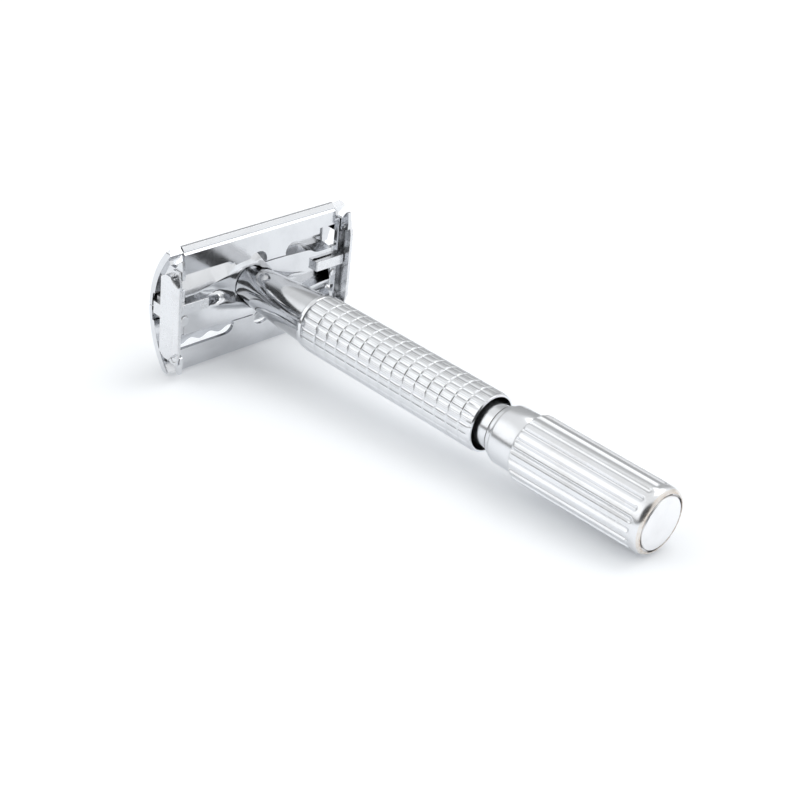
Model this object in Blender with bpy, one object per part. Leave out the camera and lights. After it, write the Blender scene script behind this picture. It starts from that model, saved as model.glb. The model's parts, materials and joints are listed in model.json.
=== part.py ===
"""Double-edge safety razor with twist-to-open doors.

The razor is laid out in its own handle frame and then leaned to the angle it
rests at on a table.  Handle frame: X runs from the head to the knob, Y along
the head, Z across the head.  X = 0 lies within the head, near the guard.  The
doors close the -X side.  "Near" is -Y, "far" is +Y, "upper" is +Z and "lower"
is -Z.  Lengths are millimetres; MM turns them into metres.
"""
import math
from types import SimpleNamespace

import bmesh
import bpy
from mathutils import Vector

MM = 0.001

# ---- dimensions shared between pieces ----------------------------------------
REST_TILT = 4.0          # degrees; the handle slopes down towards the knob
REST_HEIGHT = 13.467     # handle axis above the table at X = 0
REST_SHIFT = -48.41      # puts the middle of the resting razor over the origin

GAP = 0.06               # clearance between neighbouring solids
SMOOTH_ANGLE = 35.0      # degrees; edges bent further than this are sharp

SPINE_HALF = 18.9        # half length of the spine
SPINE_LO, SPINE_HI = -1.85, 1.0
SPINE_FLOOR = -1.4       # X of the trough floor
GUARD_LO, GUARD_HI = 0.2, 1.0
ROD_HOLE_R = 2.6         # hole for the push rod in spine and blade seat

PIVOT_X, PIVOT_Z = 2.0, 8.9
PIN_R = 0.55
END_IN = 21.6            # inner face of an end plate
BAR_LO, BAR_HI = -4.2, -3.2    # X of the carrier bar

NECK_FOOT_R = 4.3
TUBE_R, TUBE_BORE = 5.8, 5.2
SCREW_R = 3.75
SCREW_HOLE_R = SCREW_R + 0.1
CUP_END = 38.5           # knob side of the swivel cup
GRIP_START, GRIP_END = 73.58, 102.1
GRIP_RECESS = 101.2      # floor of the recess for the insert


# ---- materials ---------------------------------------------------------------
def metal(name, colour, roughness):
    mat = bpy.data.materials.new(name)
    mat.use_nodes = True
    shader = mat.node_tree.nodes["Principled BSDF"]
    shader.inputs["Base Color"].default_value = (*colour, 1.0)
    shader.inputs["Roughness"].default_value = roughness
    shader.inputs["Metallic"].default_value = 1.0
    mat.diffuse_color = (*colour, 1.0)
    return mat


def make_metals():
    return SimpleNamespace(
        chrome=metal("chrome_bright", colour=(0.80, 0.81, 0.83), roughness=0.08),
        satin=metal("chrome_satin", colour=(0.74, 0.75, 0.77), roughness=0.22),
        steel=metal("steel_dark", colour=(0.42, 0.42, 0.43), roughness=0.35),
        knurl=metal("chrome_knurled", colour=(0.76, 0.77, 0.79), roughness=0.18),
        brass=metal("brass_rod", colour=(0.72, 0.60, 0.38), roughness=0.30),
        insert=metal("aluminium_insert", colour=(0.86, 0.86, 0.86), roughness=0.32),
    )


# ---- solids ------------------------------------------------------------------
def shade(mesh):
    mesh.shade_smooth()
    mesh.set_sharp_from_angle(angle=math.radians(SMOOTH_ANGLE))


def link(name, bm, mat):
    """Turn bm into a scene object; a boolean tool has no material."""
    bmesh.ops.remove_doubles(bm, verts=bm.verts, dist=1e-7)
    bmesh.ops.recalc_face_normals(bm, faces=bm.faces)
    mesh = bpy.data.meshes.new(name)
    bm.to_mesh(mesh)
    bm.free()
    obj = bpy.data.objects.new(name, mesh)
    bpy.context.scene.collection.objects.link(obj)
    if mat is not None:
        mesh.materials.append(mat)
        shade(mesh)
    return obj


def turned(profile, steps, name="tool", mat=None, at=(0, 0, 0), axis="X"):
    """Turn a profile of (along, radius) about the X or Y axis, then move it to at.

    A profile that starts and ends at radius 0 gives a solid; any other
    profile is closed into a ring.
    """
    bm = bmesh.new()
    if axis == "X":
        points = [Vector((along * MM, 0.0, r * MM)) for along, r in profile]
        spin_axis = (1, 0, 0)
    else:
        points = [Vector((0.0, along * MM, r * MM)) for along, r in profile]
        spin_axis = (0, 1, 0)
    verts = [bm.verts.new(point) for point in points]
    edges = [bm.edges.new(pair) for pair in zip(verts, verts[1:])]
    if profile[0][1] > 0:
        edges.append(bm.edges.new((verts[-1], verts[0])))
    bmesh.ops.spin(bm, geom=verts + edges, cent=(0, 0, 0), axis=spin_axis,
                   angle=math.tau, steps=steps, use_merge=True)
    bmesh.ops.remove_doubles(bm, verts=bm.verts, dist=1e-7)
    bmesh.ops.translate(bm, verts=bm.verts, vec=Vector(at) * MM)
    return link(name, bm, mat)


def prism(points, plane, start, end, name="tool", mat=None):
    """Extrude a polygon: 'xz' along Y, 'yz' along X, 'xy' along Z."""
    start, end = sorted((start, end))
    place = {"xz": lambda p, h: (p[0], h, p[1]),
             "yz": lambda p, h: (h, p[0], p[1]),
             "xy": lambda p, h: (p[0], p[1], h)}[plane]
    bm = bmesh.new()
    face = bm.faces.new([bm.verts.new(Vector(place(p, start)) * MM) for p in points])
    out = bmesh.ops.extrude_face_region(bm, geom=[face])
    bmesh.ops.translate(bm, vec=Vector(place((0, 0), end - start)) * MM,
                        verts=[g for g in out["geom"] if isinstance(g, bmesh.types.BMVert)])
    return link(name, bm, mat)


def bridge(bm, ring, following):
    """Join two rings of vertices with a band of quads."""
    count = len(ring)
    for i in range(count):
        j = (i + 1) % count
        bm.faces.new((ring[i], ring[j], following[j], following[i]))


def combine(obj, tool, operation):
    """Boolean tool into obj, keep the result as obj's mesh and remove the tool."""
    mod = obj.modifiers.new("combine", "BOOLEAN")
    mod.operation = operation
    mod.solver = "EXACT"
    mod.object = tool
    graph = bpy.context.evaluated_depsgraph_get()
    graph.update()
    mesh = bpy.data.meshes.new_from_object(obj.evaluated_get(graph))
    obj.modifiers.clear()
    old, obj.data = obj.data, mesh
    mesh.name = obj.name
    bpy.data.meshes.remove(old)
    bpy.data.objects.remove(tool, do_unlink=True)
    bm = bmesh.new()
    bm.from_mesh(mesh)
    bmesh.ops.dissolve_limit(bm, angle_limit=math.radians(0.05),
                             verts=bm.verts, edges=bm.edges)
    bm.to_mesh(mesh)
    bm.free()
    shade(mesh)


def cut(obj, tool):
    combine(obj, tool, "DIFFERENCE")


def join(obj, tool):
    combine(obj, tool, "UNION")


# ---- outlines ----------------------------------------------------------------
def cylinder(start, end, radius):
    """Profile of a plain cylinder, for turned()."""
    return [(start, 0), (start, radius), (end, radius), (end, 0)]


def mirrored(points):
    """Reverse a polygon with its second coordinate negated."""
    return [(u, -v) for u, v in reversed(points)]


def rectangle(u0, u1, v0, v1):
    u0, u1 = sorted((u0, u1))
    v0, v1 = sorted((v0, v1))
    return [(u0, v0), (u1, v0), (u1, v1), (u0, v1)]


def stadium(y0, y1, z0, z1, steps=8):
    """Slot outline with round ends, long way along Y."""
    y0, y1 = sorted((y0, y1))
    z0, z1 = sorted((z0, z1))
    r = (z1 - z0) / 2
    middle = (z0 + z1) / 2
    points = []
    for centre, first in ((y1 - r, -math.pi / 2), (y0 + r, math.pi / 2)):
        for i in range(steps + 1):
            turn = first + math.pi * i / steps
            points.append((centre + r * math.cos(turn), middle + r * math.sin(turn)))
    return points


def spread(half, count):
    """Evenly spaced values from -half to half, count steps apart."""
    return [-half + 2 * half * i / count for i in range(count + 1)]


def smoothstep(t):
    t = max(0.0, min(1.0, t))
    return t * t * (3 - 2 * t)


# ---- spine -------------------------------------------------------------------
# The crest is the side of the spine that faces the handle.  One flank is
# sloped and one is steep; they change sides at Y = 0.
SPINE_STEPS = 40         # along Y, for the spine and its opening in the guard
SLOPE_RUN, SLOPE_DROP = 3.1, 1.75    # sloped flank, across Z and along X
STEEP_SPREAD = 0.35      # how far the steep flank leans out at SPINE_LO
WALL = 0.55              # wall between trough and sloped flank
TROUGH_FILLET = 0.25
RAMP_STEPS = 6
RAMP_CLEAR = 0.6         # least flat width left beside the ramp


def sloped_half(y):
    """Half width of the crest on the sloped flank: widest beside the neck."""
    return 3.75 + 1.95 * smoothstep(1 - (abs(y) - 2.0) / 16.0)


def steep_half(y):
    """Half width of the crest on the steep flank; narrower at the far end."""
    narrow = 0.95 * smoothstep((y - 12.5) / 2.5)
    return 4.95 + 0.45 * smoothstep(1 - (abs(y) - 2.0) / 14.0) - narrow


def trough_edge(y):
    """Where the trough runs out towards the steep flank; wider at the ends."""
    pocket = (0.45 if y < 0 else 3.05) * smoothstep((abs(y) - 12.6) / 0.9)
    return -0.4 + 5.2 * (1 - min(1.0, abs(y) / 15.0)) ** 1.25 + pocket


def rim_height(y):
    """X of the wall's rim; it dips to let the neck through."""
    return SPINE_HI - 0.7 * smoothstep((6.4 - abs(y)) / 2.4)


def spine_section(y):
    """Section (x, z) of the spine at y."""
    half = sloped_half(y)
    steep = steep_half(y)
    foot = half + SLOPE_RUN
    inner = half - WALL
    edge = min(trough_edge(y), half - 0.25)
    ramp = min(0.15 + 2.45 * smoothstep((13.2 - abs(y)) / 5.0), edge + inner - RAMP_CLEAR)
    rim = rim_height(y)
    section = [(SPINE_LO, -steep - STEEP_SPREAD), (SPINE_HI, -steep), (SPINE_HI, -edge)]
    for i in range(1, RAMP_STEPS + 1):
        t = i / RAMP_STEPS
        section.append((SPINE_HI + (SPINE_FLOOR - SPINE_HI) * smoothstep(t), -edge + ramp * t))
    section += [(SPINE_FLOOR, inner - TROUGH_FILLET), (SPINE_FLOOR + TROUGH_FILLET, inner),
                (rim, inner), (rim, half), (rim - SLOPE_DROP, foot), (SPINE_LO, foot)]
    if abs(y) < 1e-9:
        # halfway between the two hands
        return [((a[0] + b[0]) / 2, (a[1] + b[1]) / 2)
                for a, b in zip(section, mirrored(section))]
    return mirrored(section) if y > 0 else section


def cut_rod_hole(obj):
    cut(obj, turned(cylinder(-5, 3, ROD_HOLE_R), 32))


def build_spine(mat):
    """Loft along Y: a ridge with a trough that opens towards the handle."""
    bm = bmesh.new()
    rings = [[bm.verts.new((x * MM, y * MM, z * MM)) for x, z in spine_section(y)]
             for y in spread(SPINE_HALF, SPINE_STEPS)]
    for ring, following in zip(rings, rings[1:]):
        bridge(bm, ring, following)
    bm.faces.new(rings[0])
    bm.faces.new(list(reversed(rings[-1])))
    bmesh.ops.triangulate(bm, faces=bm.faces)
    spine = link("spine", bm, mat)
    # seat for the neck
    cut(spine, turned(cylinder(SPINE_FLOOR - 0.02, 3.0, NECK_FOOT_R + 0.08), 48))
    cut_rod_hole(spine)
    return spine


# ---- guard -------------------------------------------------------------------
GUARD_HALF_Y, GUARD_HALF_Z = 20.6, 10.0
BAR_HALF = 19.2          # half length of a safety bar
BAR_Z = 13.5             # outermost Z of a safety bar
BAR_ROOT = 9.0           # Z where a safety bar overlaps the plate
STEEP_ROOM = 0.2         # opening beyond the crest on the steep flank
SLOT_OUT = 8.0           # outer Z of the slots
SLOT_IN = 3.9
SLOT_Y0, SLOT_Y1 = 6.3, 18.8
WINDOW_Y1 = 20.2         # outer end of the square windows

# (x, z) of the nose that both bars share
BAR_NOSE = [(-0.9, 12.9), (-0.92, 13.2), (-0.75, 13.4), (-0.5, 13.48), (-0.35, BAR_Z)]
# (x, z) sections, given on the +Z side
LOWER_BAR = [(GUARD_LO, BAR_ROOT), (GUARD_LO, 10.2), (-0.45, 11.8), *BAR_NOSE,
             (-0.25, 13.35), (GUARD_HI, 9.8), (GUARD_HI, BAR_ROOT)]
# stays flat longer and ends in a rolled edge behind a groove
UPPER_BAR = [(GUARD_LO, BAR_ROOT), (GUARD_LO, 11.6), (-0.45, 12.3), *BAR_NOSE,
             (-0.1, 13.45), (0.5, 12.85), (0.55, 12.6), (0.45, 12.4), (0.6, 12.25),
             (GUARD_HI, 12.1), (GUARD_HI, BAR_ROOT)]

# (side in Y, side in Z, inner Y, inner Z, outer Z); the far upper one is taller
WINDOWS = [(-1, -1, 16.0, 4.66, SLOT_OUT), (-1, 1, 16.0, 4.66, SLOT_OUT),
           (1, -1, 16.0, 4.66, SLOT_OUT), (1, 1, 15.2, 4.25, 9.2)]


def spine_opening():
    """Outline (y, z) of the guard's opening for the spine."""
    slope_room = (SPINE_HI - GUARD_LO) / SLOPE_DROP * SLOPE_RUN

    def steep(y):
        return steep_half(y) + STEEP_ROOM + GAP

    def slope(y):
        return max(sloped_half(y) + slope_room, steep_half(y) + STEEP_ROOM) + GAP

    stations = spread(SPINE_HALF + GAP, SPINE_STEPS)
    upper = [(y, steep(y) if y > 0 else slope(y)) for y in stations]
    lower = [(y, -slope(y) if y > 0 else -steep(y)) for y in reversed(stations)]
    return upper + lower


def build_guard(mat):
    """Plate with two safety bars, an opening for the spine, slots and windows."""
    guard = prism(rectangle(-GUARD_HALF_Y, GUARD_HALF_Y, -GUARD_HALF_Z, GUARD_HALF_Z),
                  "yz", GUARD_LO, GUARD_HI, "guard_plate", mat)
    for section in (UPPER_BAR, mirrored(LOWER_BAR)):
        join(guard, prism(section, "xz", -BAR_HALF, BAR_HALF))
    openings = [spine_opening()]
    for sy in (-1, 1):
        for sz in (-1, 1):
            openings.append(stadium(sy * SLOT_Y0, sy * SLOT_Y1, sz * SLOT_IN, sz * SLOT_OUT))
    # the slots run out square towards the ends of the plate
    for sy, sz, y0, z0, z1 in WINDOWS:
        openings.append(rectangle(sy * y0, sy * WINDOW_Y1, sz * z0, sz * z1))
    # one short slot on either side of the neck
    for sz in (-1, 1):
        openings.append(stadium(sz * 1.4, -sz * 3.2, sz * 4.2, sz * 8.2))
    for outline in openings:
        cut(guard, prism(outline, "yz", -1, 2))
    return guard


# ---- blade seat, end brackets and rivets -------------------------------------
SEAT_LO, SEAT_HI = -2.6, -1.92
SEAT_HALF = 18.8
SEAT_STEPS = 64
SEAT_EDGE_Z = 8.4        # mean half width
TOOTH_HEIGHT = 0.42      # from the mean half width to a tooth tip
TOOTH_PITCH = 4.8
TOOTH_AT = 2.0           # Y of one tooth

BRACKET_Z = (0.25, 2.4)
# (x, y) on the far side
BRACKET = [(SPINE_FLOOR + GAP, 13.9), (2.1, 13.9), (2.3, 14.1), (2.3, 21.2), (2.1, 21.4),
           (GUARD_HI + GAP, 21.4), (GUARD_HI + GAP, SPINE_HALF - GAP),
           (SPINE_FLOOR + GAP, SPINE_HALF - GAP)]

RIVETS = {-1: (1.1, -18.9), 1: (0.78, 19.78)}    # side: (radius, Y)
RIVET_Z = -1.9


def build_blade_seat(mat):
    """Thin plate under the doors; its long edges are scalloped between teeth."""
    edge = [(y, SEAT_EDGE_Z + TOOTH_HEIGHT * math.cos(math.tau * (y - TOOTH_AT) / TOOTH_PITCH))
            for y in spread(SEAT_HALF, SEAT_STEPS)]
    seat = prism(edge + mirrored(edge), "yz", SEAT_LO, SEAT_HI, "blade_seat", mat)
    cut_rod_hole(seat)
    return seat


def build_bracket(tag, side, mat):
    """Stop block at one end of the spine; it reaches over the guard's end strap."""
    return prism([(x, side * y) for x, y in BRACKET], "xy", *BRACKET_Z,
                 "end_bracket_" + tag, mat)


def build_rivet(tag, side, mat):
    r, y = RIVETS[side]
    profile = [(0.0, 0), (0.0, r), (0.12, r), (0.22, r - 0.15), (0.24, 0)]
    return turned(profile, 24, "bracket_rivet_" + tag, mat, at=(GUARD_HI + GAP, y, RIVET_Z))


# ---- doors -------------------------------------------------------------------
DOOR_R = 20.2            # outer radius of a door
DOOR_T = 0.8             # door sheet
DOOR_END_T = 1.3         # door sheet at its two ends
DOOR_CX = 14.7           # X of the centre of the door arc
DOOR_HALF = 22.3         # half length of a door
DOOR_SEAM = 0.12         # Z of the door's edge at the crown
DOOR_ARC = 26.0          # degrees from the crown to the lip
DOOR_TAB_ARC = 41.5      # degrees from the crown to the edge of the corner tabs
DOOR_THICK_ARC = 9.0     # degrees from the crown to where the ends thicken
DOOR_THIN_ARC = 8.6      # degrees from the crown to where the thin part of the ends stops
DOOR_TAB_AT = 19.6       # half length where the corner tabs start
TAB_OVERLAP = 0.35       # tabs reach this far into the sheet
TAB_CORNER_R = 1.1
CORNER_STEPS = 6
CORNER_PROUD = 0.02      # the rounding tool stands this far off the tab

EAR_IN, EAR_OUT = 20.8, 21.5
EAR_Z0, EAR_Z1 = 6.95, 11.8    # where the ear merges into the sheet
EAR_STEPS = 6
# (x, z) of the ear's free edge on the upper door
EAR_EDGE = [(0.6, 6.85), (1.2, 7.75), (2.1, 7.75), (3.3, 8.35), (3.35, 9.6), (3.1, 12.0),
            (2.6, 12.0), (1.1, 10.1), (-0.4, 10.15)]


def door_arc(radius, start, end, steps):
    """Arc (x, z) about the door's centre; 0 degrees is -X, positive towards +Z."""
    points = []
    for i in range(steps + 1):
        turn = math.radians(start + (end - start) * i / steps)
        points.append((DOOR_CX - radius * math.cos(turn), radius * math.sin(turn)))
    return points


def build_door_tab(side, seam):
    """Thicker end of the upper door with its outer corner rounded."""
    section = (door_arc(DOOR_R, seam, DOOR_TAB_ARC, 18)
               + door_arc(DOOR_R - DOOR_END_T, DOOR_THICK_ARC, DOOR_TAB_ARC, 14)[::-1]
               + door_arc(DOOR_R - DOOR_T, seam, DOOR_THIN_ARC, 4)[::-1])
    tab = prism(section, "xz", side * (DOOR_TAB_AT - TAB_OVERLAP), side * DOOR_HALF)
    r = TAB_CORNER_R
    top = DOOR_R * math.sin(math.radians(DOOR_TAB_ARC)) + CORNER_PROUD
    corner = [(23.5, top - r), (23.5, 15.0), (DOOR_HALF - r, 15.0)]
    for i in range(CORNER_STEPS + 1):
        turn = math.pi / 2 * i / CORNER_STEPS
        corner.append((DOOR_HALF + CORNER_PROUD - r + r * math.sin(turn),
                       top - r + r * math.cos(turn)))
    cut(tab, prism([(side * y, z) for y, z in corner], "yz", -8, 6))
    return tab


def build_door_ear(side):
    """Ear with a hole for the hinge pin, rooted in the middle of the sheet."""
    root_r = DOOR_R - DOOR_T / 2
    outline = list(EAR_EDGE)
    for i in range(EAR_STEPS + 1):
        z = EAR_Z1 - (EAR_Z1 - EAR_Z0) * i / EAR_STEPS
        outline.append((DOOR_CX - math.sqrt(root_r * root_r - z * z), z))
    ear = prism(outline, "xz", side * EAR_IN, side * EAR_OUT)
    cut(ear, turned(cylinder(-30, 30, PIN_R + 0.08), 20, at=(PIVOT_X, 0, PIVOT_Z), axis="Y"))
    return ear


def build_door(name, side, mat):
    """Curved sheet with an ear at each end; built as the upper door."""
    seam = math.degrees(math.asin(DOOR_SEAM / DOOR_R))
    sheet = (door_arc(DOOR_R, seam, DOOR_ARC, 16)
             + door_arc(DOOR_R - DOOR_T, seam, DOOR_ARC, 16)[::-1])
    door = prism(sheet, "xz", -DOOR_TAB_AT, DOOR_TAB_AT, name, mat)
    for end in (-1, 1):
        join(door, build_door_tab(end, seam))
        join(door, build_door_ear(end))
    hinge = Vector((PIVOT_X, 0, side * PIVOT_Z)) * MM
    bm = bmesh.new()
    bm.from_mesh(door.data)
    if side < 0:
        bmesh.ops.scale(bm, vec=(1, 1, -1), verts=bm.verts)
        bmesh.ops.reverse_faces(bm, faces=bm.faces)
    # the door's origin lies on its hinge axis
    bmesh.ops.translate(bm, vec=-hinge, verts=bm.verts)
    bm.to_mesh(door.data)
    bm.free()
    door.location = hinge
    return door


# ---- door carrier ------------------------------------------------------------
HEAD_HALF = 23.0         # half length over the end plates
STEM_HALF_Z = 1.3        # stem from an end plate towards the crown of the doors
STEM_T = 0.7
LOBE_T = 0.45            # end plate thickness around the pins
PIN_IN, PIN_OUT = 20.7, 22.0
PIN_CHAMFER = 0.1
BAR_HALF_Z = 2.3

# (x, z) outline
END_PLATE = [(-1.3, -8.2), (-1.3, 8.2), (0.2, 9.2), (1.0, 10.0), (2.9, 10.0), (3.1, 8.8),
             (3.5, 7.0), (3.5, -7.0), (3.1, -8.8), (2.9, -10.0), (1.0, -10.0), (0.2, -9.2)]
# (x, y) cut off the outer handle-side edge of the far plate
END_BEVEL = [(2.7, HEAD_HALF + 0.01), (3.7, HEAD_HALF - 0.9), (3.7, HEAD_HALF + 1),
             (2.7, HEAD_HALF + 1)]
# (x, z) area around the upper pin where the outer face stands back
LOBE_CUT = [(-2.0, 7.6), (0.2, 8.9), (1.5, 8.9), (3.1, 7.0), (5.0, 7.0), (5.0, 12.0),
            (-2.0, 12.0)]


def build_end_plate(tag, side, mat):
    """Long plate that closes one end of the head and holds the pins."""
    plate = prism(END_PLATE, "xz", side * END_IN, side * HEAD_HALF, "end_plate_" + tag, mat)
    stem = rectangle(-4.25, -1.2, -STEM_HALF_Z, STEM_HALF_Z)
    join(plate, prism(stem, "xz", side * END_IN, side * (END_IN + STEM_T)))
    cut(plate, prism([(x, side * y) for x, y in END_BEVEL], "xy", -12, 12))
    for sz in (-1, 1):
        outline = LOBE_CUT if sz > 0 else mirrored(LOBE_CUT)
        cut(plate, prism(outline, "xz", side * (END_IN + LOBE_T), side * (HEAD_HALF + 1)))
        # not mirrored in Y, so the near plate's pin holes are deeper
        cut(plate, turned(cylinder(-0.9, 0.45, PIN_R + 0.06), 20,
                          at=(PIVOT_X, side * END_IN, sz * PIVOT_Z), axis="Y"))
    return plate


def build_carrier_bar(mat):
    """Flat bar between the end plates with a hole for the tip of the push rod."""
    half = END_IN - GAP
    bar = prism(rectangle(-half, half, -BAR_HALF_Z, BAR_HALF_Z), "yz", BAR_LO, BAR_HI,
                "carrier_bar", mat)
    cut(bar, turned(cylinder(-9, 0, 1.2), 24))
    return bar


def build_push_rod(mat):
    """Rod with a thin tip in the carrier bar and a flange at the swivel cup."""
    tip_r, rod_r, flange_r = 1.1, 2.0, 3.4
    flange, end = 36.0, 37.2
    profile = [(BAR_LO, 0), (BAR_LO, tip_r), (BAR_HI + GAP, tip_r), (BAR_HI + GAP, rod_r),
               (flange, rod_r), (flange, flange_r), (end, flange_r), (end, 0)]
    return turned(profile, 28, "push_rod", mat)


def build_hinge_pin(name, sy, sz, mat):
    reach = sy * (PIN_OUT - PIN_IN)
    profile = [(0, 0), (0, PIN_R - PIN_CHAMFER), (sy * PIN_CHAMFER, PIN_R), (reach, PIN_R),
               (reach, 0)]
    return turned(profile, 16, name, mat, at=(PIVOT_X, sy * PIN_IN, sz * PIVOT_Z), axis="Y")


# ---- handle: profiles are (x, radius) ----------------------------------------
def build_neck(mat):
    """Slim flared neck, bored for the push rod, with a spigot into the tube."""
    foot, end = SPINE_FLOOR + 0.04, 24.0
    bore, groove_r, spigot_r = 2.4, 4.6, TUBE_BORE - 0.08
    profile = [(foot, bore), (foot, NECK_FOOT_R),
               (0.0, 4.2), (1.5, 4.2), (4, 4.4), (8, 4.7), (12.3, 4.95), (16, 5.2), (18.05, 5.3),
               (18.05, groove_r), (19.3, groove_r), (19.3, spigot_r), (end, spigot_r),
               (end, bore)]
    return turned(profile, 48, "neck", mat)


def build_neck_ring(mat):
    profile = [(18.13, 4.68), (18.13, 5.4), (18.3, 5.62), (19.1, 5.62), (19.27, 5.4),
               (19.27, 4.68)]
    return turned(profile, 48, "neck_ring", mat)


def build_tube(mat):
    start, end = 19.36, 64.1
    edge_r = TUBE_R - 0.2
    profile = [(start, TUBE_BORE), (start, edge_r), (start + 0.25, TUBE_R),
               (end - 0.2, TUBE_R), (end, edge_r), (end, TUBE_BORE)]
    return turned(profile, 60, "handle_tube", mat)


def build_drive_nut(mat):
    start, end = 44.0, 52.0
    outer = TUBE_BORE - 0.07
    profile = [(start, SCREW_HOLE_R), (start, outer), (end, outer), (end, SCREW_HOLE_R)]
    return turned(profile, 48, "drive_nut", mat)


def build_swivel_cup(mat):
    """Cup around the flange of the push rod."""
    profile = [(34.6, 2.2), (34.6, 4.4), (34.8, 4.6), (CUP_END, 4.6), (CUP_END, 1.0),
               (38.0, 1.0), (38.0, 3.55), (35.1, 3.55), (35.1, 2.2)]
    return turned(profile, 36, "swivel_cup", mat)


def build_drive_screw(mat):
    start = CUP_END + GAP
    profile = [(start, 0), (start, 3.5), (38.8, SCREW_R), (94.8, SCREW_R), (95.0, 3.5),
               (95.0, 0)]
    return turned(profile, 40, "drive_screw", mat)


def build_collar(mat):
    profile = [(62.4, SCREW_HOLE_R), (62.4, 4.2), (62.6, 4.35), (66.6, 4.35), (66.8, 4.8),
               (67.15, 5.03), (67.6, 5.1), (68.0, 5.12), (68.15, 5.5), (68.6, 5.7),
               (73.2, 5.7), (73.5, 5.5), (73.5, SCREW_HOLE_R)]
    return turned(profile, 48, "knob_collar", mat)


FLUTES, STEPS_PER_FLUTE = 20, 6
FLUTE_DEPTH = 0.42
# (x, radius, flute depth): outside from the collar to the end, then back inside
GRIP = [(GRIP_START, 5.95, 0.0), (GRIP_START + 0.3, 6.3, 0.25),
        (GRIP_START + 0.7, 6.45, FLUTE_DEPTH), (99.4, 6.33, FLUTE_DEPTH), (99.9, 6.32, 0.2),
        (100.2, 6.31, 0.0), (100.6, 6.28, 0.0), (101.3, 6.12, 0.0), (101.9, 5.8, 0.0),
        (GRIP_END, 5.45, 0.0), (GRIP_END, 5.3, 0.0), (GRIP_RECESS, 5.3, 0.0),
        (GRIP_RECESS, SCREW_HOLE_R, 0.0), (GRIP_START, SCREW_HOLE_R, 0.0)]


def build_grip(mat):
    """Fluted knob sleeve with a smooth rounded rim and a recess for the insert."""
    count = FLUTES * STEPS_PER_FLUTE
    bm = bmesh.new()
    rings = []
    for x, radius, depth in GRIP:
        ring = []
        for i in range(count):
            groove = (0.5 + 0.5 * math.cos(math.tau * i / STEPS_PER_FLUTE)) ** 1.5
            r = radius - depth * groove
            turn = math.tau * i / count
            ring.append(bm.verts.new((x * MM, r * math.cos(turn) * MM, r * math.sin(turn) * MM)))
        rings.append(ring)
    for ring, following in zip(rings, rings[1:] + rings[:1]):
        bridge(bm, ring, following)
    return link("knob_grip", bm, mat)


def build_insert(mat):
    start = GRIP_RECESS + GAP
    profile = [(start, 0), (start, 5.1), (102.0, 5.1), (102.15, 4.95), (102.3, 4.2),
               (102.42, 2.6), (102.46, 0)]
    return turned(profile, 48, "knob_insert", mat)


# ---- assembly ----------------------------------------------------------------
def clean_scene():
    for obj in list(bpy.data.objects):
        bpy.data.objects.remove(obj, do_unlink=True)


def empty(name, parent=None):
    obj = bpy.data.objects.new(name, None)
    bpy.context.scene.collection.objects.link(obj)
    obj.parent = parent
    return obj


def main():
    clean_scene()
    metals = make_metals()

    frame = empty("razor_frame")
    frame.location = (REST_SHIFT * MM, 0.0, REST_HEIGHT * MM)
    frame.rotation_euler = (0.0, math.radians(REST_TILT), 0.0)
    carrier = empty("carrier_frame", frame)
    knob = empty("knob_frame", carrier)

    fixed = [build_spine(metals.chrome), build_guard(metals.chrome),
             build_blade_seat(metals.steel), build_neck(metals.chrome),
             build_neck_ring(metals.chrome), build_tube(metals.knurl),
             build_drive_nut(metals.brass)]
    lifted = [build_carrier_bar(metals.steel), build_push_rod(metals.brass),
              build_door("door_upper", 1, metals.chrome),
              build_door("door_lower", -1, metals.chrome)]
    turning = [build_swivel_cup(metals.steel), build_drive_screw(metals.steel),
               build_collar(metals.chrome), build_grip(metals.satin),
               build_insert(metals.insert)]

    for tag, side in (("near", -1), ("far", 1)):
        fixed.append(build_bracket(tag, side, metals.satin))
        fixed.append(build_rivet(tag, side, metals.chrome))
        lifted.append(build_end_plate(tag, side, metals.satin))
        for level, sz in (("upper", 1), ("lower", -1)):
            lifted.append(build_hinge_pin(f"hinge_pin_{level}_{tag}", side, sz, metals.steel))

    for parent, pieces in ((frame, fixed), (carrier, lifted), (knob, turning)):
        for obj in pieces:
            obj.parent = parent


main()
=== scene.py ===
"""Looks of a safety razor: turned and fluted handle, plated head, white studio.

The handle runs from the head to the knob. Its own frame has X along the handle
towards the knob, Y along the head and Z across both, pointing upward. Profiles
and stations are in millimetres in that frame; the scene is in metres, +Z up.
"""
import json
import math

import bmesh
import bpy
from mathutils import Matrix, Vector


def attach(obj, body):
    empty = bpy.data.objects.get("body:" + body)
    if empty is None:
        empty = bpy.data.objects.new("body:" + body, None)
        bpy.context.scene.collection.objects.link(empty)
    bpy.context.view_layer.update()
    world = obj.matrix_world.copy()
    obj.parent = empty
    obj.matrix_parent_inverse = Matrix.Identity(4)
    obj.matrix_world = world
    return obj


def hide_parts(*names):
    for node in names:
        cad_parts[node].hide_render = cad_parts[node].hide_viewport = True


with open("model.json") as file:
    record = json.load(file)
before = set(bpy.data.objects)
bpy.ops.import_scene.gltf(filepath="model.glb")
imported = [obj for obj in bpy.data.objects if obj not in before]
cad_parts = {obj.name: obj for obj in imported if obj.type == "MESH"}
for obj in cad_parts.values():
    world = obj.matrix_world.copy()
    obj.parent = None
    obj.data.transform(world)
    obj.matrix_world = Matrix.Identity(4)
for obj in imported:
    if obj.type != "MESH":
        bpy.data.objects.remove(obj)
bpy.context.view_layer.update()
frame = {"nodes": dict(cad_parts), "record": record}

MM = 0.001
NODES = frame["nodes"]

# ---- handle frame ----------------------------------------------------------------
KNOB_JOINT_X = 88.0                     # place of the knob joint along the handle

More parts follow.
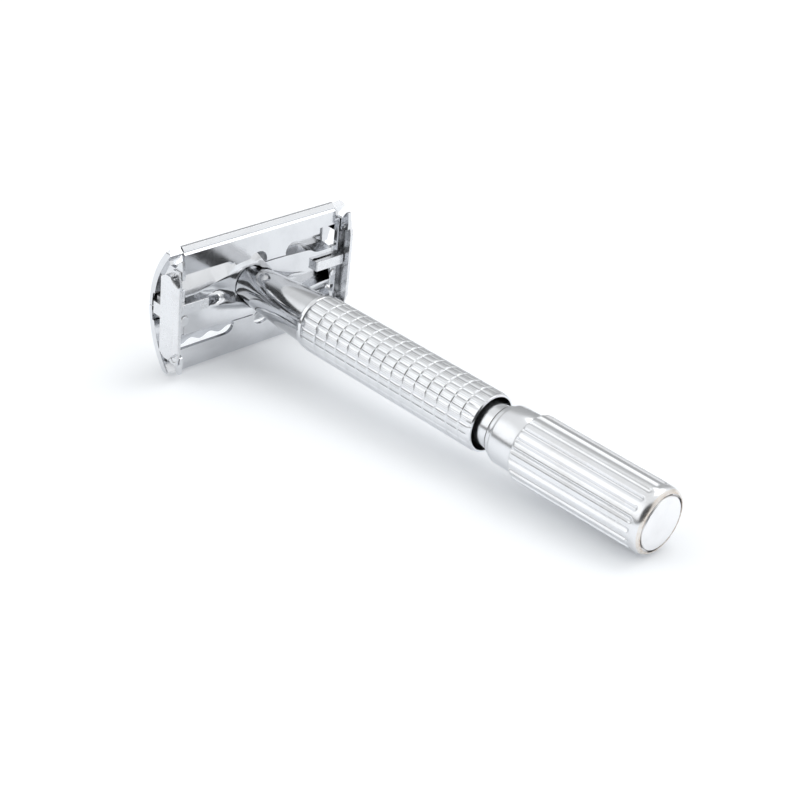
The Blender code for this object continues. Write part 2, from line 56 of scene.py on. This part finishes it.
knob_turn = next(joint for joint in frame["record"]["behaviour"]["joints"]
                 if joint["name"] == "knob_turn")
AXIS_X = Vector(knob_turn["axis"]).normalized()
AXIS_Y = Vector((0.0, 1.0, 0.0))
AXIS_Z = AXIS_X.cross(AXIS_Y).normalized()
if AXIS_Z.z < 0:
    AXIS_Z = -AXIS_Z
ORIGIN = Vector(knob_turn["pos_m"]) - AXIS_X * (KNOB_JOINT_X * MM)


def to_scene(x, y, z):
    """Scene point in metres of a handle-frame point in millimetres."""
    return ORIGIN + (AXIS_X * x + AXIS_Y * y + AXIS_Z * z) * MM


# ---- shader graphs ---------------------------------------------------------------
def is_socket(value):
    return isinstance(value, bpy.types.NodeSocket)


class Graph:
    """Short ways to add and link shader nodes."""

    def __init__(self, tree):
        self.tree = tree

    def add(self, kind, **values):
        """Add a node; each value sets the input of that name, or else a property."""
        node = self.tree.nodes.new(kind)
        for key, value in values.items():
            if key in node.inputs:
                node.inputs[key].default_value = value
            else:
                setattr(node, key, value)
        return node

    def link(self, source, target):
        self.tree.links.new(source, target)

    def math(self, operation, first, second):
        node = self.add("ShaderNodeMath", operation=operation)
        for i, value in enumerate((first, second)):
            if is_socket(value):
                self.link(value, node.inputs[i])
            else:
                node.inputs[i].default_value = value
        return node.outputs[0]

    def remap(self, value, source, result, interpolation="LINEAR"):
        """Map the source range onto the result range, clamped."""
        node = self.add("ShaderNodeMapRange", clamp=True, interpolation_type=interpolation)
        for key, limit in zip(("From Min", "From Max", "To Min", "To Max"), (*source, *result)):
            node.inputs[key].default_value = limit
        self.link(value, node.inputs["Value"])
        return node.outputs["Result"]

    def dot(self):
        return self.add("ShaderNodeVectorMath", operation="DOT_PRODUCT")


class MaterialGraph(Graph):
    def __init__(self, name):
        self.mat = bpy.data.materials.new(name)
        self.mat.use_nodes = True
        super().__init__(self.mat.node_tree)
        self.shader = self.tree.nodes["Principled BSDF"]
        self.coord = self.add("ShaderNodeTexCoord")

    def handle_coords(self):
        """Object coordinates turned so that X runs along the handle."""
        mapping = self.add("ShaderNodeMapping", vector_type="TEXTURE",
                           Rotation=(0.0, math.atan2(-AXIS_X.z, AXIS_X.x), 0.0))
        self.link(self.coord.outputs["Object"], mapping.inputs["Vector"])
        return mapping.outputs["Vector"]

    def noise(self, vector, scale, detail, rough=0.55, stretch=None):
        if stretch is not None:
            mapping = self.add("ShaderNodeMapping", Scale=stretch)
            self.link(vector, mapping.inputs["Vector"])
            vector = mapping.outputs["Vector"]
        texture = self.add("ShaderNodeTexNoise", Scale=scale, Detail=detail, Roughness=rough)
        self.link(vector, texture.inputs["Vector"])
        return texture.outputs["Fac"]

    def mix(self, factor, first, second):
        """Blend two colours, each a tuple or a socket."""
        node = self.add("ShaderNodeMix", data_type="RGBA")
        for i, colour in ((6, first), (7, second)):         # the RGBA inputs A and B
            if is_socket(colour):
                node.inputs[i].default_value = (0, 0, 0, 1)
                self.link(colour, node.inputs[i])
            else:
                node.inputs[i].default_value = (*colour, 1.0)
        self.link(factor, node.inputs[0])
        return node.outputs[2]


# ---- metals ----------------------------------------------------------------------
PIT_COLOUR = (0.30, 0.29, 0.28)
WORN_ROUGHNESS = 0.12                   # added where an edge is rubbed


def metal(name, *, colour, tint, rough, smudge, pits, grain=0.0, grain_scale=2600.0,
          stretch=None, wave=0.004, wave_scale=260.0, edge=0.0, wear_or_glint=0.0,
          wear_or_glint_colour=(0.66, 0.53, 0.36)):
    """Plated or bare metal.

    tint: colour of the cloudy patches       smudge: roughness they add
    pits: strength of the dark specks        grain, wave: bump heights, mm
    stretch: scale of the grain per axis     edge: width of the coloured edges, mm
    wear_or_glint: strength of the edge colour, wear_or_glint_colour; a colour
    lighter than the metal paints a highlight along the edges, a darker one is rubbed wear
    """
    graph = MaterialGraph(name)
    vector = graph.handle_coords()
    cloud = graph.noise(vector, scale=180.0, detail=4.0, rough=0.6)
    fine = graph.noise(vector, scale=1500.0, detail=3.0, rough=0.6)
    base = graph.mix(graph.remap(cloud, source=(0.45, 0.75), result=(0.0, 0.55)), colour, tint)
    roughness = graph.math(
        "ADD",
        graph.remap(cloud, source=(0.35, 0.7), result=(rough, rough + smudge)),
        graph.remap(fine, source=(0.45, 0.7), result=(0.0, smudge * 0.5)))

    if edge > 0:
        # An edge shows where the bevelled normal leaves the true one.
        bevel = graph.add("ShaderNodeBevel", samples=4, Radius=edge * MM)
        geometry = graph.add("ShaderNodeNewGeometry")
        dot = graph.dot()
        graph.link(bevel.outputs["Normal"], dot.inputs[0])
        graph.link(geometry.outputs["Normal"], dot.inputs[1])
        worn_or_lit_edges = graph.math(
            "MULTIPLY",
            graph.remap(dot.outputs["Value"], source=(0.995, 0.90), result=(0.0, 1.0)),
            graph.remap(fine, source=(0.40, 0.62), result=(0.0, 1.0)))
        # Edges take the edge colour: rubbed metal, or a painted highlight where that colour is
        # lighter than the metal.
        base = graph.mix(graph.math("MULTIPLY", worn_or_lit_edges, wear_or_glint), base, wear_or_glint_colour)
        roughness = graph.math("ADD", roughness, graph.math("MULTIPLY", worn_or_lit_edges, WORN_ROUGHNESS))

    speck = graph.noise(vector, scale=3800.0, detail=2.0, rough=0.5)
    dark = graph.remap(speck, source=(0.66, 0.74), result=(0.0, pits))
    base = graph.mix(dark, base, PIT_COLOUR)
    graph.link(base, graph.shader.inputs["Base Color"])
    graph.link(roughness, graph.shader.inputs["Roughness"])
    graph.shader.inputs["Metallic"].default_value = 1.0

    waves = graph.noise(vector, scale=wave_scale, detail=2.0, rough=0.5)
    height = graph.math("MULTIPLY", waves, wave)
    if grain > 0:
        grains = graph.noise(vector, scale=grain_scale, detail=2.0, rough=0.6, stretch=stretch)
        height = graph.math("ADD", height, graph.math("MULTIPLY", grains, grain))
    bump = graph.add("ShaderNodeBump", Strength=1.0, Distance=MM)
    graph.link(height, bump.inputs["Height"])
    graph.link(bump.outputs["Normal"], graph.shader.inputs["Normal"])
    return graph.mat


CHROME = metal("chrome", colour=(0.80, 0.81, 0.83), tint=(0.70, 0.70, 0.72), rough=0.05,
               smudge=0.05, pits=0.10, wave=0.008, edge=0.12, wear_or_glint=0.35)
SOFT = metal("chrome_soft", colour=(0.80, 0.81, 0.83), tint=(0.72, 0.73, 0.75), rough=0.16,
             smudge=0.08, pits=0.10, wave=0.006, grain=0.003, edge=0.12, wear_or_glint=0.3)
# The neck takes a darker copy of the chrome: painted shade.
CHROME_NECK_SHADED = metal("chrome_neck_shaded", colour=(0.66, 0.67, 0.69), tint=(0.54, 0.54, 0.55),
                    rough=0.07, smudge=0.07, pits=0.12, wave=0.009, wave_scale=90.0)
# The head's edges are painted lighter than its plating: a painted highlight along them.
CHROME_HEAD = metal("chrome_head", colour=(0.74, 0.75, 0.77), tint=(0.60, 0.61, 0.63),
                    rough=0.09, smudge=0.08, pits=0.15, wave=0.02, edge=0.15, wear_or_glint=0.4,
                    wear_or_glint_colour=(0.90, 0.90, 0.90))
SATIN = metal("chrome_satin", colour=(0.78, 0.79, 0.81), tint=(0.68, 0.68, 0.69), rough=0.22,
              smudge=0.10, pits=0.15, grain=0.006, grain_scale=1800.0, edge=0.15, wear_or_glint=0.35)
KNURL = metal("chrome_knurled", colour=(0.82, 0.83, 0.85), tint=(0.68, 0.69, 0.71), rough=0.16,
              smudge=0.08, pits=0.15, wave=0.010, wave_scale=700.0)
GRIP = metal("chrome_grip", colour=(0.82, 0.83, 0.85), tint=(0.72, 0.71, 0.70), rough=0.15,
             smudge=0.10, pits=0.15, grain=0.004, grain_scale=900.0, stretch=(0.15, 1.0, 1.0))
RIM = metal("chrome_rim_worn", colour=(0.80, 0.78, 0.76), tint=(0.62, 0.50, 0.38), rough=0.14,
            smudge=0.14, pits=0.3, grain=0.004, edge=0.6, wear_or_glint=0.9,
            wear_or_glint_colour=(0.48, 0.34, 0.22))
STEEL = metal("plain_steel", colour=(0.50, 0.50, 0.51), tint=(0.40, 0.39, 0.38), rough=0.30,
              smudge=0.12, pits=0.3, grain=0.006)
BRASS = metal("turned_brass", colour=(0.72, 0.58, 0.33), tint=(0.60, 0.47, 0.28), rough=0.28,
              smudge=0.12, pits=0.2, grain=0.005)
DISC = metal("matt_disc", colour=(0.92, 0.92, 0.93), tint=(0.80, 0.80, 0.81), rough=0.36,
             smudge=0.08, pits=0.10, grain=0.012, grain_scale=1200.0)


# ---- mesh helpers ----------------------------------------------------------------
def smoothstep(t):
    t = max(0.0, min(1.0, t))
    return t * t * (3 - 2 * t)


def ring_points(x, radii, shift=0.0):
    """Ring round the handle, one point per radius, turned by shift steps."""
    points = []
    for i, radius in enumerate(radii):
        angle = math.tau * (i + shift) / len(radii)
        points.append(to_scene(x, radius * math.cos(angle), radius * math.sin(angle)))
    return points


def skin(bm, rings, closed_path=False, slots=None):
    """Quads between successive rings; slots holds a material index per band."""
    made = [[bm.verts.new(point) for point in ring] for ring in rings]
    pairs = list(zip(made, made[1:]))
    if closed_path:
        pairs.append((made[-1], made[0]))
    for k, (ring, after) in enumerate(pairs):
        count = len(ring)
        for i in range(count):
            j = (i + 1) % count
            face = bm.faces.new((ring[i], ring[j], after[j], after[i]))
            if slots is not None:
                face.material_index = slots[k]
    return made


def piece(name, bm, materials, body, replaced, smooth=35.0):
    """Object that rides a body in place of a CAD node; smooth is in degrees."""
    bmesh.ops.remove_doubles(bm, verts=bm.verts, dist=1e-8)
    bmesh.ops.recalc_face_normals(bm, faces=bm.faces)
    mesh = bpy.data.meshes.new(name)
    bm.to_mesh(mesh)
    bm.free()
    for material in materials:
        mesh.materials.append(material)
    mesh.shade_smooth()
    mesh.set_sharp_from_angle(angle=math.radians(smooth))
    obj = bpy.data.objects.new(name, mesh)
    bpy.context.scene.collection.objects.link(obj)
    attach(obj, body)
    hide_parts(replaced)


def lathe(name, profile, material, body, replaced, segments):
    """Turned piece from (x, radius) points.

    A profile that starts and ends at radius 0 is solid, with a point at each
    end; any other closes on itself into a ring.
    """
    bm = bmesh.new()
    solid = profile[0][1] == 0
    rings = [ring_points(x, [radius] * segments) for x, radius in profile if radius > 0]
    made = skin(bm, rings, closed_path=not solid)
    if solid:
        for ring, (x, _) in ((made[0], profile[0]), (made[-1], profile[-1])):
            tip = bm.verts.new(to_scene(x, 0, 0))
            for i in range(segments):
                bm.faces.new((ring[i], ring[(i + 1) % segments], tip))
    piece(name, bm, [material], body, replaced)


def rounded(points, radius, steps):
    """Round every corner of an open (x, radius) profile but its two ends."""
    out = [points[0]]
    for before, corner, after in zip(points, points[1:], points[2:]):
        corner = Vector(corner)
        to_before = Vector(before) - corner
        to_after = Vector(after) - corner
        reach = min(radius, to_before.length * 0.45, to_after.length * 0.45)
        start = corner + to_before.normalized() * reach
        end = corner + to_after.normalized() * reach
        for k in range(steps + 1):
            t = k / steps
            point = start * (1 - t) ** 2 + corner * 2 * t * (1 - t) + end * t * t
            out.append((point.x, point.y))
    out.append(points[-1])
    return out


# ---- neck and its ring -----------------------------------------------------------
NECK_START, NECK_FLARE_END = -1.0, 18.0
NECK_STEPS = 24
NECK_BORE = 2.4
SEAT_START, SEAT_END, SEAT_R = 18.08, 19.3, 4.6     # groove that holds the ring
SPIGOT_R, SPIGOT_END = 5.1, 24.0                    # end that enters the tube


def build_neck():
    """Neck that widens towards the tube, with a groove and a spigot."""
    profile = [(-1.36, NECK_BORE), (-1.36, 4.22), (-1.2, 4.3)]
    for k in range(NECK_STEPS + 1):
        x = NECK_START + (NECK_FLARE_END - NECK_START) * k / NECK_STEPS
        flare = max(0.0, (x - 1.0) / 17.0) ** 0.85
        profile.append((x, 4.15 + 0.10 * max(0.0, -x) + 1.15 * flare))
    profile += [(SEAT_START, 5.2), (SEAT_START, SEAT_R), (SEAT_END, SEAT_R),
                (SEAT_END, SPIGOT_R), (SPIGOT_END, SPIGOT_R), (SPIGOT_END, NECK_BORE)]
    lathe("neck_turned", profile, CHROME_NECK_SHADED, "handle", "neck", segments=256)


def build_neck_ring():
    start, end, inner, outer = 18.13, 19.27, 4.68, 5.62
    # The open profile leaves a narrow gap on the inner face, closed by the lathe.
    outline = [(18.7, inner), (start, inner), (start, outer),
               (end, outer), (end, inner), (18.71, inner)]
    lathe("neck_ring_turned", rounded(outline, radius=0.28, steps=5), CHROME, "handle",
          "neck_ring", segments=256)


build_neck()
build_neck_ring()

# ---- handle tube -----------------------------------------------------------------
RIBS = 20
RIB_STEPS = 18                          # points round the tube per rib
ROW = 2.9                               # pitch of the ring grooves
FIRST_GROOVE = 23.45
TUBE_START, TUBE_END = 19.42, 64.1
TUBE_ROOT_R = 5.8 - 0.18                # radius in the valleys
TUBE_BORE = 5.22
RIB_HEIGHT = 0.20
CROWN_DROP = 0.012                      # fall across the rib's crown
FACET_DROP = 0.075                      # fall across the facet beside it
# Stations across a groove and along the row after it, from the groove's centre.
GROOVE_STATIONS = (-0.27, -0.20, -0.13, -0.05, 0.05, 0.13, 0.20, 0.27, ROW * 0.35, ROW * 0.65)


def rib_height(u):
    """Height of a rib: u is 0 on its centre line and 1 in the valley."""
    if u < 0.40:
        scored_line = 0.035 * max(0.0, 1 - abs(u - 0.22) / 0.13)
        return RIB_HEIGHT - CROWN_DROP * (u / 0.40) ** 2 - scored_line
    if u < 0.76:
        return RIB_HEIGHT - CROWN_DROP - FACET_DROP * (u - 0.40) / 0.36
    return (RIB_HEIGHT - CROWN_DROP - FACET_DROP) * (1 - smoothstep((u - 0.76) / 0.24))


def tube_radius(x, i, grooves):
    height = rib_height(abs((i % RIB_STEPS) / RIB_STEPS * 2 - 1))
    to_groove = min(abs(x - groove) for groove in grooves)
    height *= 0.05 + 0.95 * smoothstep((to_groove - 0.05) / 0.20)
    root = TUBE_ROOT_R
    # The ribs fade and the tube narrows a little at both ends.
    if x < 19.7:
        height *= (x - 19.3) / 0.4
    if x < 19.5:
        root -= 0.1
    to_end = TUBE_END - x
    if to_end < 0.36:
        height *= 0.3
    if to_end < 0.2:
        root -= 0.12 * (1 - to_end / 0.2) ** 2
    return root + height


def build_tube():
    """Tube with faceted ribs, cut into bricks by narrow ring grooves."""
    stations = [TUBE_START, 19.55, 19.72, 20.6, 21.6, 22.6]
    grooves = []
    groove = FIRST_GROOVE
    while groove < TUBE_END - 0.5:
        grooves.append(groove)
        stations += [groove + offset for offset in GROOVE_STATIONS]
        groove += ROW
    stations += [TUBE_END - 0.35, TUBE_END - 0.18, TUBE_END]

    count = RIBS * RIB_STEPS
    rings = [ring_points(x, [tube_radius(x, i, grooves) for i in range(count)],
                         shift=RIB_STEPS * 0.3) for x in stations]
    rings += [ring_points(x, [TUBE_BORE] * count) for x in (TUBE_END, TUBE_START)]
    bm = bmesh.new()
    skin(bm, rings, closed_path=True)
    piece("tube_knurled", bm, [KNURL], "handle", "handle_tube", smooth=24.0)


build_tube()

# ---- knob ------------------------------------------------------------------------
# (x, radius)
COLLAR = [
    (62.4, 3.86), (62.4, 4.15), (62.6, 4.33), (66.5, 4.33), (66.62, 4.42), (66.8, 4.78),
    (67.15, 4.98), (67.6, 5.06), (68.0, 5.10), (68.06, 5.14), (68.14, 5.42), (68.32, 5.58),
    (68.7, 5.68), (70.5, 5.70), (73.2, 5.70), (73.42, 5.62), (73.5, 5.45), (73.5, 3.86),
]
# (x, radius)
INSERT = [
    (101.28, 0), (101.28, 4.9), (101.4, 5.04), (101.85, 5.08), (102.05, 5.02), (102.2, 4.9),
    (102.33, 4.2), (102.41, 3.2), (102.45, 1.8), (102.46, 0.6), (102.46, 0),
]
SCREW_START, SCREW_END = 38.56, 95.0
SCREW_R, SCREW_TIP_R, SCREW_ROOT_R = 3.75, 3.5, 3.60
THREAD_START, THREAD_END, THREAD_PITCH = 52.0, 61.0, 0.9

FLUTES = 20
FLUTE_STEPS = 12                        # points round the grip per flute
RIM_START = 101.6                       # stations beyond this take the worn metal
# (x, radius on the ribs, depth of the flutes): the outside, then back through the bore
GRIP_STATIONS = [
    (73.56, 5.6, 0.0), (73.60, 5.95, 0.0), (73.75, 6.22, 0.15), (74.0, 6.40, 0.4),
    (74.3, 6.45, 0.5), (99.4, 6.33, 0.5), (99.75, 6.33, 0.46), (99.95, 6.33, 0.30),
    (100.1, 6.32, 0.10), (100.25, 6.31, 0.0), (100.9, 6.28, 0.0), (101.3, 6.20, 0.0),
    (101.65, 6.04, 0.0), (101.9, 5.84, 0.0), (102.05, 5.66, 0.0), (102.1, 5.50, 0.0),
    (102.06, 5.40, 0.0), (101.8, 5.36, 0.0), (101.25, 5.36, 0.0),
    (101.25, 3.85, 0.0), (73.56, 3.85, 0.0),
]


def build_drive_screw():
    """Rod with chamfered ends and ring grooves that stand in for its thread."""
    profile = [(SCREW_START, 0), (SCREW_START, SCREW_TIP_R), (38.8, SCREW_R)]
    x = THREAD_START
    while x < THREAD_END:
        profile += [(x, SCREW_R), (x + 0.22, SCREW_ROOT_R),
                    (x + 0.4, SCREW_ROOT_R), (x + 0.62, SCREW_R)]
        x += THREAD_PITCH
    profile += [(94.8, SCREW_R), (SCREW_END, SCREW_TIP_R), (SCREW_END, 0)]
    lathe("drive_screw_turned", profile, SATIN, "knob", "drive_screw", segments=96)


def flute_share(i):
    """Share of the flute depth: broad flat ribs, narrow round flutes between."""
    u = abs((i % FLUTE_STEPS) / FLUTE_STEPS * 2 - 1)        # 1 in the flute, 0 on the rib
    return smoothstep((u - 0.42) / 0.50)


def build_grip():
    shares = [flute_share(i) for i in range(FLUTES * FLUTE_STEPS)]
    rings = [ring_points(x, [radius - depth * share for share in shares])
             for x, radius, depth in GRIP_STATIONS]
    slots = [1 if x > RIM_START else 0 for x, _, _ in GRIP_STATIONS]
    bm = bmesh.new()
    skin(bm, rings, closed_path=True, slots=slots)
    piece("knob_grip_fluted", bm, [GRIP, RIM], "knob", "knob_grip", smooth=40.0)


lathe("knob_collar_turned", COLLAR, SOFT, "knob", "knob_collar", segments=192)
build_drive_screw()
build_grip()
lathe("knob_insert_disc", INSERT, DISC, "knob", "knob_insert", segments=128)

# ---- CAD nodes that stay ---------------------------------------------------------
EDGE_ANGLE = math.radians(32.0)         # sharper edges are rounded


def paint(node, material):
    obj = NODES[node]
    if not obj.material_slots:
        obj.data.materials.append(material)
    for slot in obj.material_slots:
        slot.material = material


def soften(node, width):
    """Round the sharp edges of a CAD node; width is in millimetres."""
    obj = NODES[node]
    weld = obj.modifiers.new("weld", "WELD")
    weld.merge_threshold = 1e-6
    bevel = obj.modifiers.new("round", "BEVEL")
    bevel.width = width * MM
    bevel.segments = 2
    bevel.limit_method = "ANGLE"
    bevel.angle_limit = EDGE_ANGLE
    bevel.use_clamp_overlap = True
    bevel.harden_normals = True
    for poly in obj.data.polygons:
        poly.use_smooth = True
    if "custom_normal" in obj.data.attributes:
        obj.data.attributes.remove(obj.data.attributes["custom_normal"])
    obj.data.set_sharp_from_angle(angle=EDGE_ANGLE)


# (node, material, width of the rounding)
SOFTENED = [
    ("spine", CHROME_HEAD, 0.12), ("guard_plate", CHROME_HEAD, 0.12),
    ("door_upper", CHROME_HEAD, 0.14), ("door_lower", CHROME_HEAD, 0.14),
    ("end_plate_near", SATIN, 0.18), ("end_plate_far", SATIN, 0.18),
    ("end_bracket_near", SATIN, 0.15), ("end_bracket_far", SATIN, 0.15),
    ("bracket_rivet_near", CHROME, 0.05), ("bracket_rivet_far", CHROME, 0.05),
    ("blade_seat", CHROME_HEAD, 0.10), ("carrier_bar", STEEL, 0.10),
]
SOFTENED += [(node, CHROME, 0.05) for node in NODES if node.startswith("hinge_pin")]

for node, material, width in SOFTENED:
    paint(node, material)
    soften(node, width)
for node, material in (("push_rod", BRASS), ("drive_nut", BRASS), ("swivel_cup", STEEL)):
    paint(node, material)


# ---- floor -----------------------------------------------------------------------
def build_floor():
    bm = bmesh.new()
    bmesh.ops.create_grid(bm, x_segments=1, y_segments=1, size=2.5)
    mesh = bpy.data.meshes.new("floor")
    bm.to_mesh(mesh)
    bm.free()
    obj = bpy.data.objects.new("floor", mesh)
    obj.location = (0.0, 0.0, -0.00005)     # just below the product
    bpy.context.scene.collection.objects.link(obj)

    graph = MaterialGraph("pale_floor")
    tone = graph.noise(graph.coord.outputs["Object"], scale=6.0, detail=2.0)
    colour = graph.mix(graph.remap(tone, source=(0.3, 0.7), result=(0.0, 1.0)),
                       first=(0.93, 0.945, 0.965), second=(0.95, 0.96, 0.975))
    graph.link(colour, graph.shader.inputs["Base Color"])
    # The floor also glows a little: painted light that lifts the shadows on it.
    for key, value in (("Roughness", 0.9), ("Emission Color", (0.95, 0.98, 1.0, 1.0)),
                       ("Emission Strength", 0.11), ("Specular IOR Level", 0.1)):
        graph.shader.inputs[key].default_value = value
    mesh.materials.append(graph.mat)


# ---- world -----------------------------------------------------------------------
CAMERA_RAY_VALUE = 0.985                # plain backdrop that the camera sees
GLOSSY_DIMMING = 0.12                   # reflections see the tent this much darker
RED_SHARE, GREEN_SHARE = 0.985, 0.995   # against blue: a slightly cool white


def build_world():
    """A white light tent with a darker opening on the camera's side."""
    world = bpy.data.worlds.new("tent")
    bpy.context.scene.world = world
    world.use_nodes = True
    graph = Graph(world.node_tree)
    graph.tree.nodes.clear()
    coord = graph.add("ShaderNodeTexCoord")
    separate = graph.add("ShaderNodeSeparateXYZ")
    graph.link(coord.outputs["Generated"], separate.inputs[0])

    def by_height(source, result):
        return graph.remap(separate.outputs["Z"], source, result, "SMOOTHSTEP")

    def patch(direction, cosines, amount):
        """Round patch that grows from 0 to amount between two cosines."""
        dot = graph.dot()
        graph.link(coord.outputs["Generated"], dot.inputs[0])
        dot.inputs[1].default_value = Vector(direction).normalized()
        return graph.remap(dot.outputs["Value"], cosines, (0.0, amount), "SMOOTHSTEP")

    # Left, right, near and far are as seen from the camera.
    value = by_height(source=(-0.1, 0.9), result=(0.86, 1.05))
    left_panel = patch((-0.50, -0.72, 0.45), cosines=(0.75, 0.95), amount=0.45)
    value = graph.math("ADD", value, left_panel)
    right_panel = patch((0.62, 0.62, 0.45), cosines=(0.70, 0.95), amount=0.25)
    value = graph.math("ADD", value, right_panel)
    opening = patch((0.615, -0.640, 0.461), amount=0.90,
                    cosines=(math.cos(math.radians(40)), math.cos(math.radians(24))))
    far_grey = patch((-0.55, 0.72, 0.40), cosines=(0.80, 0.97), amount=0.42)
    near_left_low = graph.math("MULTIPLY", by_height(source=(0.24, 0.12), result=(0.0, 1.0)),
                               patch((-0.1, -1.0, 0.0), cosines=(0.25, 0.55), amount=0.80))
    far_low = graph.math("MULTIPLY", by_height(source=(0.16, 0.08), result=(0.0, 1.0)),
                         patch((-1.0, 0.6, 0.0), cosines=(0.6, 0.85), amount=0.60))
    dark = graph.math("MAXIMUM", graph.math("MAXIMUM", opening, far_grey),
                      graph.math("MAXIMUM", near_left_low, far_low))
    value = graph.math("MULTIPLY", value, graph.math("SUBTRACT", 1.0, dark))

    path = graph.add("ShaderNodeLightPath")
    camera_ray = path.outputs["Is Camera Ray"]
    other_ray = graph.math("SUBTRACT", 1.0, camera_ray)
    dimming = graph.math("MULTIPLY", path.outputs["Is Glossy Ray"], GLOSSY_DIMMING)
    value = graph.math("MULTIPLY", value, graph.math("SUBTRACT", 1.0, dimming))
    value = graph.math("ADD", graph.math("MULTIPLY", value, other_ray),
                       graph.math("MULTIPLY", camera_ray, CAMERA_RAY_VALUE))

    rgb = graph.add("ShaderNodeCombineColor")
    graph.link(graph.math("MULTIPLY", value, RED_SHARE), rgb.inputs[0])
    graph.link(graph.math("MULTIPLY", value, GREEN_SHARE), rgb.inputs[1])
    graph.link(value, rgb.inputs[2])
    background = graph.add("ShaderNodeBackground", Strength=1.0)
    graph.link(rgb.outputs[0], background.inputs["Color"])
    output = graph.add("ShaderNodeOutputWorld")
    graph.link(background.outputs[0], output.inputs["Surface"])


# ---- light and camera ------------------------------------------------------------
def build_light():
    """Disk lamp high on the far side, aimed at the scene's origin."""
    data = bpy.data.lights.new("top_back", "AREA")
    data.shape = "DISK"
    data.size = 0.50
    data.energy = 0.9
    obj = bpy.data.objects.new("top_back", data)
    obj.location = (0.05, 0.36, 0.66)
    aim = Vector((0, 0, 0)) - Vector((0.05, 0.36, 0.66))
    obj.rotation_euler = aim.to_track_quat("-Z", "Y").to_euler()
    bpy.context.scene.collection.objects.link(obj)


CAMERA_POS = (0.180906, -0.195690, 0.145486)
# Bearing from -Y towards +X, height above the floor plane, roll; in degrees.
CAMERA_ANGLES = (43.859, 27.445, 3.176)


def build_camera():
    data = bpy.data.cameras.new("camera")
    data.sensor_width = 36.0
    data.lens = 73.874
    data.clip_start = 0.01
    camera = bpy.data.objects.new("camera", data)
    bpy.context.scene.collection.objects.link(camera)
    bearing, rise, roll = (math.radians(angle) for angle in CAMERA_ANGLES)
    back = Vector((math.sin(bearing) * math.cos(rise), -math.cos(bearing) * math.cos(rise),
                   math.sin(rise)))
    level = Vector((math.cos(bearing), math.sin(bearing), 0.0))
    upright = back.cross(level)
    right = level * math.cos(roll) + upright * math.sin(roll)
    up = upright * math.cos(roll) - level * math.sin(roll)
    rows = [row for row in zip(right, up, back, CAMERA_POS)]
    camera.matrix_world = Matrix((*rows, (0, 0, 0, 1)))
    bpy.context.scene.camera = camera


build_floor()
build_world()
build_light()
build_camera()
bpy.context.scene.view_settings.view_transform = "Standard"
